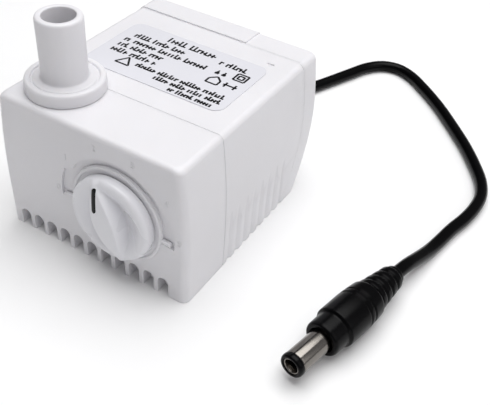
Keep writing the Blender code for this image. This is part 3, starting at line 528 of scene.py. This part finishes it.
def gland_profile():
    """Cable gland: a stem through the rear wall, a flange on it, and a nose that tapers onto the cord."""
    inner = CORD_D / 2 + 0.05
    nose = REAR_Y + GLAND_LENGTH + 2 * GAP
    return rounded_profile([
        (inner, REAR_Y - 3.4, 0.1), (2.9, REAR_Y - 3.4, 0.2), (2.9, REAR_Y + GAP, 0.0),
        (4.2, REAR_Y + GAP, 0.1), (4.2, REAR_Y + 1.5, 0.5), (3.2, REAR_Y + 2.0, 0.6), (2.3, nose, 0.3),
        (inner, nose, 0.1)])


def barrel_profile():
    """Plug's outer contact. Heights in the plug's outlines are distances behind its tip."""
    return rounded_profile([(2.3, 1.5, 0.1), (2.62, 1.5, 0.1), (2.75, 1.8, 0.2), (2.75, 13.0, 0.1),
                            (2.3, 13.0, 0.1)])


def insulator_profile():
    """Black liner of the barrel, with a ring in front of the barrel's end."""
    return rounded_profile([(1.95, 0.35, 0.15), (2.05, 0.0, 0.15), (2.6, 0.0, 0.4), (2.88, 0.6, 0.4),
                            (2.82, 1.45, 0.15), (2.25, 1.48, 0.1), (2.2, 12.0, 0.1), (1.95, 12.0, 0.1)])


def contact_profile():
    """Plug's inner contact: a tube with a funnel at its mouth."""
    return rounded_profile([(1.3, 1.6, 0.5), (1.66, 0.25, 0.2), (1.9, 0.22, 0.1), (1.9, 12.6, 0.1),
                            (1.3, 12.6, 0.1)])


def grip_profile():
    """Plug's grip: a slim collar, a thicker body with two grooves, and a taper to the strain relief."""
    return rounded_profile([
        (3.05, 9.8, 0.1), (3.95, 9.8, 0.35), (4.25, 10.4, 0.3), (4.3, 13.9, 0.25), (4.4, 14.15, 0.1),
        (4.95, 14.6, 0.25), (5.0, 21.2, 0.2), (4.72, 21.4, 0.12), (4.72, 21.7, 0.12), (4.95, 21.9, 0.2),
        (4.9, 22.8, 0.2), (4.62, 23.0, 0.12), (4.62, 23.3, 0.12), (4.85, 23.5, 0.2), (4.6, 26.4, 0.5),
        (4.25, 26.8, 0.2), (3.05, 26.8, 0.1)])


def strain_relief_profile():
    """Plug's strain relief: four ribs that get smaller towards the cord."""
    inner = CORD_D / 2 + 0.02
    ribs = [(inner, 27.0, 0.05), (3.3, 27.0, 0.05)]
    for k in range(4):
        s, r = 27.2 + 2.4 * k, 4.1 - 0.32 * k
        ribs += [(r, s, 0.3), (r - 0.12, s + 1.4, 0.35), (r - 0.62, s + 1.75, 0.2), (r - 0.62, s + 2.1, 0.2)]
    return rounded_profile(ribs + [(2.35, PLUG_LENGTH, 0.3), (inner, PLUG_LENGTH, 0.05)])


def cord_curve(name, points):
    """Round cord through points in metres, closed at both ends."""
    curve = bpy.data.curves.new(name, "CURVE")
    curve.dimensions = "3D"
    curve.bevel_depth = CORD_D / 2 * MM
    curve.bevel_resolution = 6
    curve.use_fill_caps = True
    spline = curve.splines.new("POLY")
    spline.points.add(len(points) - 1)
    spline.points.foreach_set("co", np.concatenate([points, np.ones((len(points), 1))], axis=1).ravel())
    spline.use_smooth = True
    cord = bpy.data.objects.new(name, curve)
    bpy.context.scene.collection.objects.link(cord)
    return cord


# ---------------------------------------------------------------- finishes


def add_node(tree, kind, inputs, **settings):
    """Add a node. inputs maps an input's name or number to a value, or to the socket that feeds it."""
    node = tree.nodes.new(kind)
    for key, value in settings.items():
        setattr(node, key, value)
    for key, value in inputs.items():
        if isinstance(value, bpy.types.NodeSocket):
            tree.links.new(value, node.inputs[key])
        else:
            node.inputs[key].default_value = value
    return node


def shade(colour, factor):
    """The same linear colour made lighter or darker."""
    return tuple(min(1.0, c * factor) for c in colour[:3]) + (1.0,)


def start_finish(name, **sockets):
    """New material with constant values on its shader's own sockets, and the object's own coordinates."""
    material = bpy.data.materials.new(name)
    material.use_nodes = True
    tree = material.node_tree
    shader = tree.nodes["Principled BSDF"]
    for key, value in sockets.items():
        shader.inputs[key.replace("_", " ")].default_value = value
    place = add_node(tree, "ShaderNodeTexCoord", {}).outputs["Object"]
    return material, tree, shader, place


def moulded(name, colour, roughness, grain, depth, cloud=0.03, **sockets):
    """Moulded plastic: the tool's fine spark-eroded grain as bump, and slow changes of tone and gloss.

    grain is the size of one pit and depth its depth, both in millimetres.
    """
    material, tree, shader, place = start_finish(name, **sockets)
    pits = add_node(tree, "ShaderNodeTexNoise", {"Vector": place, "Scale": 1.0 / (grain * MM), "Detail": 3.0})
    flow = add_node(tree, "ShaderNodeTexNoise", {"Vector": place, "Scale": 1.0 / (14.0 * MM), "Detail": 2.0})
    tone = add_node(tree, "ShaderNodeMix", {"Factor": flow.outputs["Fac"], 6: shade(colour, 1.0 - cloud),
                                            7: shade(colour, 1.0 + cloud)}, data_type="RGBA")
    gloss = add_node(tree, "ShaderNodeMapRange", {"Value": flow.outputs["Fac"], "To Min": roughness - 0.05,
                                                  "To Max": roughness + 0.05})
    bump = add_node(tree, "ShaderNodeBump", {"Height": pits.outputs["Fac"], "Strength": 0.5,
                                             "Distance": depth * MM})
    tree.links.new(tone.outputs[2], shader.inputs["Base Color"])
    tree.links.new(gloss.outputs["Result"], shader.inputs["Roughness"])
    tree.links.new(bump.outputs["Normal"], shader.inputs["Normal"])
    return material


def drawn(name, colour, roughness, stretch, turn=0.0, metallic=1.0, **sockets):
    """Turned or drawn surface: noise stretched by the (x, y, z) factors into fine tool lines."""
    material, tree, shader, place = start_finish(name, Metallic=metallic, **sockets)
    lines = add_node(tree, "ShaderNodeMapping", {"Vector": place, "Rotation": (0.0, 0.0, turn),
                                                 "Scale": stretch})
    noise = add_node(tree, "ShaderNodeTexNoise", {"Vector": lines.outputs["Vector"], "Scale": 1.0,
                                                  "Detail": 4.0})
    tone = add_node(tree, "ShaderNodeMix", {"Factor": noise.outputs["Fac"], 6: shade(colour, 0.9),
                                            7: shade(colour, 1.06)}, data_type="RGBA")
    gloss = add_node(tree, "ShaderNodeMapRange", {"Value": noise.outputs["Fac"], "To Min": roughness * 0.7,
                                                  "To Max": roughness * 1.4})
    bump = add_node(tree, "ShaderNodeBump", {"Height": noise.outputs["Fac"], "Strength": 0.25,
                                             "Distance": 0.01 * MM})
    tree.links.new(tone.outputs[2], shader.inputs["Base Color"])
    tree.links.new(gloss.outputs["Result"], shader.inputs["Roughness"])
    tree.links.new(bump.outputs["Normal"], shader.inputs["Normal"])
    return material


def layered(name, dark, light, roughness, pitch, direction, metallic=1.0):
    """Stack of sheets or turns of wire: even bands of the given pitch in millimetres along X, Y or Z."""
    material, tree, shader, place = start_finish(name, Metallic=metallic, Roughness=roughness)
    # A wave's band repeats every 2*pi / (20 * scale).
    bands = add_node(tree, "ShaderNodeTexWave", {"Vector": place, "Scale": 2.0 * math.pi / (20.0 * pitch * MM)},
                     wave_type="BANDS", bands_direction=direction, wave_profile="SIN")
    tone = add_node(tree, "ShaderNodeMix", {"Factor": bands.outputs["Fac"], 6: dark, 7: light},
                    data_type="RGBA")
    bump = add_node(tree, "ShaderNodeBump", {"Height": bands.outputs["Fac"], "Strength": 0.8,
                                             "Distance": 0.25 * pitch * MM})
    tree.links.new(tone.outputs[2], shader.inputs["Base Color"])
    tree.links.new(bump.outputs["Normal"], shader.inputs["Normal"])
    return material


def make_finishes(colours):
    """Every finish by a short name."""
    plug_turn = math.atan2(PLUG_DIR[0], PLUG_DIR[1])
    return {
        # Satin white ABS from a spark-eroded tool: soft broad highlight, faint waviness. Pits drawn 3x coarser.
        "casing": moulded("white_moulded_abs", colours.casing[:], 0.42, 0.45, 0.02, IOR=1.53,
                          Subsurface_Weight=0.35, Subsurface_Scale=0.0012,
                          Subsurface_Radius=(1.0, 0.95, 0.9)),
        # Polished white ABS: a tighter highlight along the rim and the grip.
        "dial": moulded("polished_white_abs", colours.dial[:], 0.28, 0.8, 0.008, 0.015, IOR=1.53),
        # Clear printed film over the casing: flatter and glossier than the plastic under it.
        "label": moulded("clear_printed_film", colours.label[:], 0.2, 2.4, 0.01, 0.012, Coat_Weight=0.4,
                         Coat_Roughness=0.12),
        "print": moulded("black_screen_print", colours.ink[:], 0.5, 0.3, 0.004, 0.1,
                         Specular_IOR_Level=0.2),
        "inlay": moulded("black_inlay_paint", colours.ink[:], 0.35, 0.4, 0.006, 0.1,
                         Specular_IOR_Level=0.2),
        # Extruded and moulded PVC: near black, half gloss, a faint orange peel.
        "lead": moulded("extruded_black_pvc", colours.lead[:], 0.24, 0.7, 0.02, 0.12, Specular_IOR_Level=0.1),
        "plug": moulded("moulded_black_pvc", colours.lead[:], 0.26, 0.35, 0.02, 0.15, Specular_IOR_Level=0.1),
        # Nickel plate on turned brass: tool lines run round the barrel.
        "plating": drawn("nickel_plated_brass", colours.plating[:], 0.16, (60.0, 9000.0, 60.0), plug_turn),
        "inner": moulded("grey_moulded_abs", linear("#c9cbce"), 0.45, 0.5, 0.02),
        "impeller": moulded("blue_moulded_polypropylene", linear("#4376ae"), 0.36, 0.6, 0.012, 0.05),
        "magnet": moulded("bonded_ferrite", linear("#3a3a3c"), 0.6, 0.25, 0.05, 0.15),
        "ceramic": moulded("ground_alumina", linear("#f2efe6"), 0.22, 0.12, 0.004, 0.02),
        "rubber": moulded("nitrile_rubber", linear("#1c1c1d"), 0.68, 0.3, 0.02, 0.12),
        "lamination": layered("stamped_laminations", linear("#4c4e51"), linear("#9a9c9f"), 0.38, 0.5, "Z"),
        "bobbin": moulded("moulded_nylon", linear("#dfe6d8"), 0.48, 0.5, 0.02),
        "copper": layered("enamelled_copper_wire", linear("#6b2f14"), linear("#c8763a"), 0.28, 0.36, "Y"),
        "wire": moulded("hook_up_wire_pvc", linear("#b02a22"), 0.45, 0.4, 0.01, 0.06),
        "resin": moulded("cast_epoxy", linear("#2a2320"), 0.3, 3.0, 0.05, 0.15),
        "floor": moulded("matt_white_paper", linear("#f8f8f8"), 0.9, 0.6, 0.005, 0.004),
    }


FINISH_CACHE = {}


def finish(name):
    """The named finish, made with all the others on first use."""
    if not FINISH_CACHE:
        FINISH_CACHE.update(make_finishes(bpy.context.scene.pump_colours))
    return FINISH_CACHE[name]


def settle(obj, finish_name, body, slot, *nodes):
    """Give a piece its finish and its body, and hide the CAD nodes that it stands for. slot is not used."""
    obj.data.materials.append(finish(finish_name))
    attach(obj, body)
    if nodes:
        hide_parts(*nodes)
    return obj


# ---------------------------------------------------------------- operators


class PUMP_OT_stage(Operator):
    """Camera, pale floor and soft lights"""

    bl_idname = "pump.stage"
    bl_label = "Stage"

    def area_light(self, name, place, power, size, tint):
        """Square light that faces the pump's middle."""
        light = bpy.data.lights.new(name, "AREA")
        light.energy = power
        light.shape = "SQUARE"
        light.size = size * MM
        light.color = linear(tint)[:3]
        obj = bpy.data.objects.new(name, light)
        obj.location = Vector(place) * MM
        obj.rotation_euler = (Vector(LIGHT_TARGET) - Vector(place)).to_track_quat("-Z", "Y").to_euler()
        bpy.context.scene.collection.objects.link(obj)

    def execute(self, context):
        stage = context.scene.pump_stage
        a, e, roll = stage.azimuth, stage.elevation, stage.roll
        back = Vector((math.sin(a) * math.cos(e), -math.cos(a) * math.cos(e), math.sin(e)))
        right = (-back).cross(Vector((0.0, 0.0, 1.0))).normalized()
        up = right.cross(-back)
        x_axis = right * math.cos(roll) + up * math.sin(roll)
        y_axis = up * math.cos(roll) - right * math.sin(roll)
        place = Matrix((x_axis, y_axis, back)).transposed().to_4x4()
        place.translation = Vector(CAMERA_TARGET) * MM + back * stage.distance
        data = bpy.data.cameras.new("pump_camera")
        data.sensor_width = SENSOR_W
        data.lens = stage.lens
        data.clip_start = 0.005
        camera = bpy.data.objects.new("pump_camera", data)
        camera.matrix_world = place
        context.scene.collection.objects.link(camera)
        context.scene.camera = camera

        w = FLOOR_HALF_W
        corners = np.array([(-w, -w, FLOOR_Z), (w, -w, FLOOR_Z), (w, w, FLOOR_Z), (-w, w, FLOOR_Z)])
        floor = mesh_object("floor", corners * MM, [(0, 1, 2, 3)])
        floor.data.materials.append(finish("floor"))
        self.area_light("key_light", KEY_PLACE, stage.key_power, KEY_SIZE, "#ffffff")
        self.area_light("side_light", SIDE_PLACE, stage.side_power, SIDE_SIZE, "#fffefd")
        world = bpy.data.worlds.new("even_sky")
        world.use_nodes = True
        background = world.node_tree.nodes["Background"]
        background.inputs["Color"].default_value = linear("#f8f7fa")
        tree = world.node_tree
        direction = add_node(tree, "ShaderNodeTexCoord", {}).outputs["Generated"]
        across = add_node(tree, "ShaderNodeSeparateXYZ", {"Vector": direction}).outputs["X"]
        level = add_node(tree, "ShaderNodeMapRange", {"Value": across, "From Min": -1.0, "From Max": 1.0,
                                                      "To Min": (1.0 - SKY_TILT) * stage.sky,
                                                      "To Max": (1.0 + SKY_TILT) * stage.sky})
        tree.links.new(level.outputs["Result"], background.inputs["Strength"])
        context.scene.world = world
        context.scene.view_settings.view_transform = "Standard"
        if context.scene.camera is None:
            raise RuntimeError("the stage has no camera")
        return {"FINISHED"}


class PUMP_OT_lead(Operator):
    """Gland, lead and coaxial plug"""

    bl_idname = "pump.lead"
    bl_label = "Lead and plug"

    def execute(self, context):
        gland = turned_surface("lead_gland", gland_profile(), (GLAND_X, 0.0, GLAND_Z), (0, 1, 0))
        pieces = [settle(gland, "plug", "pump", "cord", "cord_gland")]
        shapes = (("barrel", barrel_profile(), "plating", "nickel", "plug_barrel"),
                  ("tip_insulator", insulator_profile(), "plug", "cord", "plug_insulator"),
                  ("tip_contact", contact_profile(), "plating", "nickel", "plug_contact"),
                  ("grip", grip_profile(), "plug", "cord", "plug_grip"),
                  ("strain_relief", strain_relief_profile(), "plug", "cord", "plug_strain_relief"))
        for name, profile, finish_name, slot, node in shapes:
            piece = turned_surface("lead_" + name, profile, PLUG_TIP, PLUG_DIR, 128)
            pieces.append(settle(piece, finish_name, "pump", slot, node))
        points = cord_points() * MM
        cord = settle(cord_curve("lead_cord", points), "lead", "pump", "cord", "power_cord")
        length = float(np.linalg.norm(np.diff(points, axis=0), axis=1).sum())
        if length <= 0.0:
            raise RuntimeError("the lead has no length")
        return {"FINISHED"}


class PUMP_OT_casing(Operator):
    """Front cover, motor housing, rear cover and the tongues in their joints"""

    bl_idname = "pump.casing"
    bl_label = "Casing"

    def execute(self, context):
        edge = context.scene.pump_sizes.casing_edge
        for node, body in (("front_cover", "cover"), ("motor_housing", "pump"), ("rear_cover", "pump")):
            copy = edged_copy(node, "moulded_" + node, edge)
            if not copy.data.polygons:
                raise RuntimeError(node + " has no faces")
            settle(copy, "casing", body, "casing", node)
        front = tongue_surface("front_seam_tongue", lambda z: SEAM_Y + 0.0 * z, 0.1)
        rear = tongue_surface("rear_seam_tongue", lambda z: rear_y(z) - CAP_DEPTH, 0.02)
        for tongue in (front, rear):
            settle(tongue, "casing", "pump", "casing")
        return {"FINISHED"}


class PUMP_OT_outlet(Operator):
    """Outlet tube with its flange ring"""

    bl_idname = "pump.outlet"
    bl_label = "Outlet"

    def execute(self, context):
        z0 = BODY_H + 0.04
        ring_top = BODY_H + GAP + FLANGE_H
        seat = ring_top - 0.12
        top = OUT_TOP_Z
        spigot = BODY_H - 6.0
        profile = rounded_profile([
            (SPIGOT_R, spigot, 0.3), (SPIGOT_R, z0, 0.05), (FLANGE_R, z0, 0.35), (FLANGE_R, ring_top, 1.0),
            (FLANGE_R - 1.35, ring_top, 0.3), (FLANGE_R - 1.55, seat - 0.35, 0.1),
            (FLANGE_R - 1.8, seat - 0.35, 0.1), (FLANGE_R - 1.95, seat, 0.25),
            (OUT_R + 0.1, seat + 0.05, 0.45), (OUT_R, seat + 2.0, 0.4), (OUT_R, top, 0.95),
            (BORE_R, top, 0.35), (BORE_R, spigot, 0.2)], steps=9)
        tube = turned_surface("outlet_tube", profile, (OUT_X, OUT_Y, 0.0), (0, 0, 1), 144)
        if len(tube.data.polygons) < 100:
            raise RuntimeError("the outlet tube is empty")
        settle(tube, "casing", "outlet", "casing", "outlet_nozzle")
        return {"FINISHED"}


class PUMP_OT_dial(Operator):
    """Flow dial, its pointer, the collar bead, the numerals and the end marks"""

    bl_idname = "pump.dial"
    bl_label = "Dial"

    def execute(self, context):
        sizes = context.scene.pump_sizes
        settle(dial_surface("dial_knob", sizes), "dial", "dial", "dial", "flow_dial")
        settle(pointer_surface("dial_pointer_bar", sizes), "inlay", "dial", "ink", "dial_pointer")
        w = COLLAR_HALF_W
        bead = rounded_profile([(COLLAR_R - w, -0.6, 0.0), (COLLAR_R - w + 0.05, COLLAR_PROUD, 0.3),
                                (COLLAR_R + w - 0.05, COLLAR_PROUD, 0.3), (COLLAR_R + w, -0.6, 0.0)])
        collar = turned_surface("dial_collar", bead, (DIAL_X, FACE_Y, DIAL_Z), (0, -1, 0), 160)
        settle(collar, "casing", "cover", "casing")
        settle(numeral_mesh("dial_numerals", sizes), "casing", "cover", "casing")
        marks = []
        for degrees, r0, r1 in MARKS:
            c, s = math.cos(math.radians(degrees)), math.sin(math.radians(degrees))
            marks.append((r0 * c, r0 * s, r1 * c, r1 * s, MARK_W))
        points, faces = stroke_boxes(marks, -0.55, 0.25)
        world = np.stack([DIAL_X + points[:, 0], FACE_Y - points[:, 2], DIAL_Z + points[:, 1]], axis=1)
        settle(mesh_object("dial_end_marks", world * MM, faces), "casing", "cover", "casing")
        return {"FINISHED"}


class PUMP_OT_label(Operator):
    """Print on the rating label: rows of dashes and plain outlines"""

    bl_idname = "pump.label"
    bl_label = "Label print"

    def execute(self, context):
        stroke = context.scene.pump_sizes.stroke / MM
        rows = [dashes_in_row(*row, stroke) for row in PRINT_ROWS]
        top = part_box("rating_label")[1][2] / MM
        points, faces = stroke_boxes(np.concatenate(rows + [symbol_strokes(stroke)]), top - 0.03, top + 0.02)
        if not len(faces):
            raise RuntimeError("the label has no print")
        settle(mesh_object("label_print", points * MM, faces), "print", "pump", "ink")
        return {"FINISHED"}


class PUMP_OT_inner(Operator):
    """Finishes of the CAD pieces that stay as they are"""

    bl_idname = "pump.inner"
    bl_label = "Inner pieces"

    finishes = {
        "rating_label": "label", "flow_shutter": "inner", "pump_chamber": "inner", "inlet_plate": "inner",
        "rotor_sleeve": "inner", "impeller": "impeller", "rotor_magnet": "magnet", "ceramic_shaft": "ceramic",
        "front_bush": "rubber", "rear_bush": "rubber", "nozzle_o_ring": "rubber", "stator_core": "lamination",
        "coil_bobbin_left": "bobbin", "coil_bobbin_right": "bobbin", "coil_winding_left": "copper",
        "coil_winding_right": "copper", "lead_wire_left": "wire", "lead_wire_right": "wire",
        "potting_resin": "resin",
    }

    def execute(self, context):
        for node, name in self.finishes.items():
            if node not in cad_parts:
                raise RuntimeError("the frame has no " + node)
            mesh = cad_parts[node].data
            mesh.materials.clear()
            mesh.materials.append(finish(name))
        return {"FINISHED"}


class PUMP_PT_panel(Panel):
    """Sizes, colours and the steps in order"""

    bl_label = "Fountain Pump"
    bl_idname = "PUMP_PT_panel"
    bl_space_type = "VIEW_3D"
    bl_region_type = "UI"
    bl_category = "Pump"

    def draw(self, context):
        for group in (context.scene.pump_sizes, context.scene.pump_colours, context.scene.pump_stage):
            column = self.layout.column()
            for key in type(group).__annotations__:
                column.prop(group, key)
        for operator in OPERATORS:
            self.layout.operator(operator.bl_idname)


OPERATORS = (PUMP_OT_stage, PUMP_OT_lead, PUMP_OT_casing, PUMP_OT_outlet, PUMP_OT_dial, PUMP_OT_label,
             PUMP_OT_inner)
CLASSES = (PumpSizes, PumpColours, PumpStage) + OPERATORS + (PUMP_PT_panel,)


def register():
    """Register the classes and hang the property groups on the scene."""
    for cls in CLASSES:
        bpy.utils.register_class(cls)
    bpy.types.Scene.pump_sizes = PointerProperty(type=PumpSizes)
    bpy.types.Scene.pump_colours = PointerProperty(type=PumpColours)
    bpy.types.Scene.pump_stage = PointerProperty(type=PumpStage)


def unregister():
    """Undo register."""
    del bpy.types.Scene.pump_stage
    del bpy.types.Scene.pump_colours
    del bpy.types.Scene.pump_sizes
    for cls in reversed(CLASSES):
        bpy.utils.unregister_class(cls)


def main():
    """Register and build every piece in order."""
    register()
    for operator in OPERATORS:
        name = operator.bl_idname.split(".")[1]
        getattr(bpy.ops.pump, name)()


if __name__ == "__main__":
    main()
